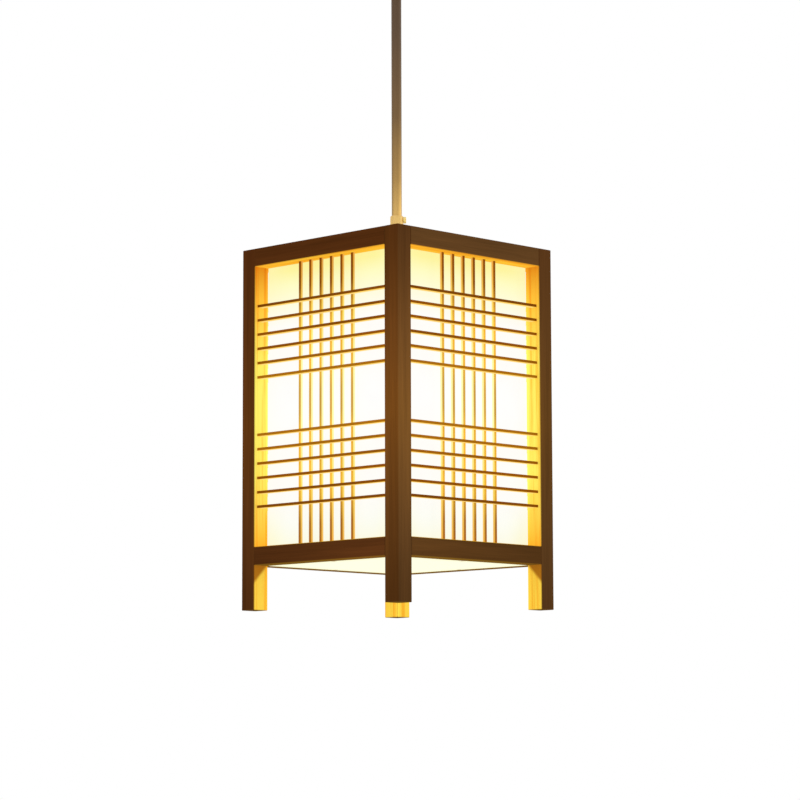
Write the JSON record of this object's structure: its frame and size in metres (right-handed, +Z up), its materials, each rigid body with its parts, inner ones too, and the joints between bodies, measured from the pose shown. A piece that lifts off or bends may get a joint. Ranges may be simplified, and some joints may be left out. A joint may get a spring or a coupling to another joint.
{
  "type": "pendant lantern",
  "caption": "Square hanging lantern: dark wooden frame on four short legs, lattice bars over a glowing white diffuser, carried by a thin metal rod from a round ceiling canopy.",
  "frame": {"origin": "centre of the ceiling plane, midway between the two slots of the ceiling bracket", "axes": "+Z up to the ceiling, the lantern hangs along -Z; the front face looks along -Y, +X is its right; the picture looks at the corner between the front and right faces"},
  "size_m": [0.216, 0.216, 0.665],
  "materials": {
    "frame_wood": "dark brown stain, satin, straight grain",
    "lattice_wood": "amber brown stain, fine straight grain",
    "plain_wood": "bare pine",
    "diffuser": "translucent white sheet, lit from inside",
    "rod_finish": "pale bronze lacquer, satin",
    "zinc_steel": "zinc plated",
    "brass": "plain brass",
    "holder_shell": "moulded ivory",
    "porcelain": "glazed white",
    "opal_glass": "opal, lit",
    "clear_glass": "clear",
    "black_glass": "fired black glass",
    "bulb_cap_metal": "rolled thread",
    "solder": "solder",
    "filament": "glowing wire",
    "terminal_plastic": "moulded white",
    "ground_green": "green dyed screw"
  },
  "bodies": {
    "ceiling": {"ceiling_bracket": "zinc_steel", "canopy": "rod_finish", "canopy_studs": "zinc_steel", "canopy_cap_nuts": "rod_finish", "ground_screw": "ground_green", "terminal_block": "terminal_plastic", "terminal_block_screws": "zinc_steel"},
    "swivel": {"swivel_stem": "zinc_steel", "swivel_nut": "zinc_steel"},
    "pendant": {"post_front_right": "frame_wood", "post_back_right": "frame_wood", "post_back_left": "frame_wood", "post_front_left": "frame_wood", "top_rail_front": "frame_wood", "bottom_rail_front": "frame_wood", "cross_bars_front": "lattice_wood", "upright_bars_front": "lattice_wood", "diffuser_front": "diffuser", "top_rail_right": "frame_wood", "bottom_rail_right": "frame_wood", "cross_bars_right": "lattice_wood", "upright_bars_right": "lattice_wood", "diffuser_right": "diffuser", "top_rail_back": "frame_wood", "bottom_rail_back": "frame_wood", "cross_bars_back": "lattice_wood", "upright_bars_back": "lattice_wood", "diffuser_back": "diffuser", "top_rail_left": "frame_wood", "bottom_rail_left": "frame_wood", "cross_bars_left": "lattice_wood", "upright_bars_left": "lattice_wood", "diffuser_left": "diffuser", "bottom_panel": "diffuser", "panel_cleats": "plain_wood", "panel_screws": "brass", "crossbar": "frame_wood", "threaded_nipple": "zinc_steel", "hub_washers": "zinc_steel", "hub_locknut": "zinc_steel", "rod_coupler": "rod_finish", "coupler_set_screw": "rod_finish", "holder_cap": "holder_shell", "holder_skirt": "holder_shell", "screw_shell": "brass", "holder_terminal_screws": "brass", "holder_base": "porcelain", "centre_contact": "brass", "suspension_rod": "rod_finish", "swivel_yoke": "rod_finish", "pivot_screws": "zinc_steel"},
    "bulb_carrier": {"bulb_contact": "solder"},
    "bulb": {"bulb_glass": "opal_glass", "bulb_cap": "bulb_cap_metal", "bulb_insulator": "black_glass", "bulb_stem": "clear_glass", "bulb_filament": "filament"}
  },
  "joints": [
    {"name": "swivel_turn", "type": "hinge", "parent": "ceiling", "child": "swivel", "pos_m": [0, 0, -0.0108], "axis": [0, 0, 1], "range_deg": [-170, 170]},
    {"name": "lantern_tilt", "type": "hinge", "parent": "swivel", "child": "pendant", "pos_m": [0, 0, -0.032], "axis": [1, 0, 0], "range_deg": [-45, 45]},
    {"name": "bulb_travel", "type": "slide", "parent": "pendant", "child": "bulb_carrier", "axis": [0, 0, -1], "range_m": [0, 0.01814]},
    {"name": "bulb_turn", "type": "hinge", "parent": "bulb_carrier", "child": "bulb", "pos_m": [0, 0, -0.3752], "axis": [0, 0, -1], "range_deg": [0, 1800]}
  ],
  "couplings": [
    {"joint": "bulb_turn", "follows": "bulb_travel", "rad_per_m": 1731.4}
  ]
}
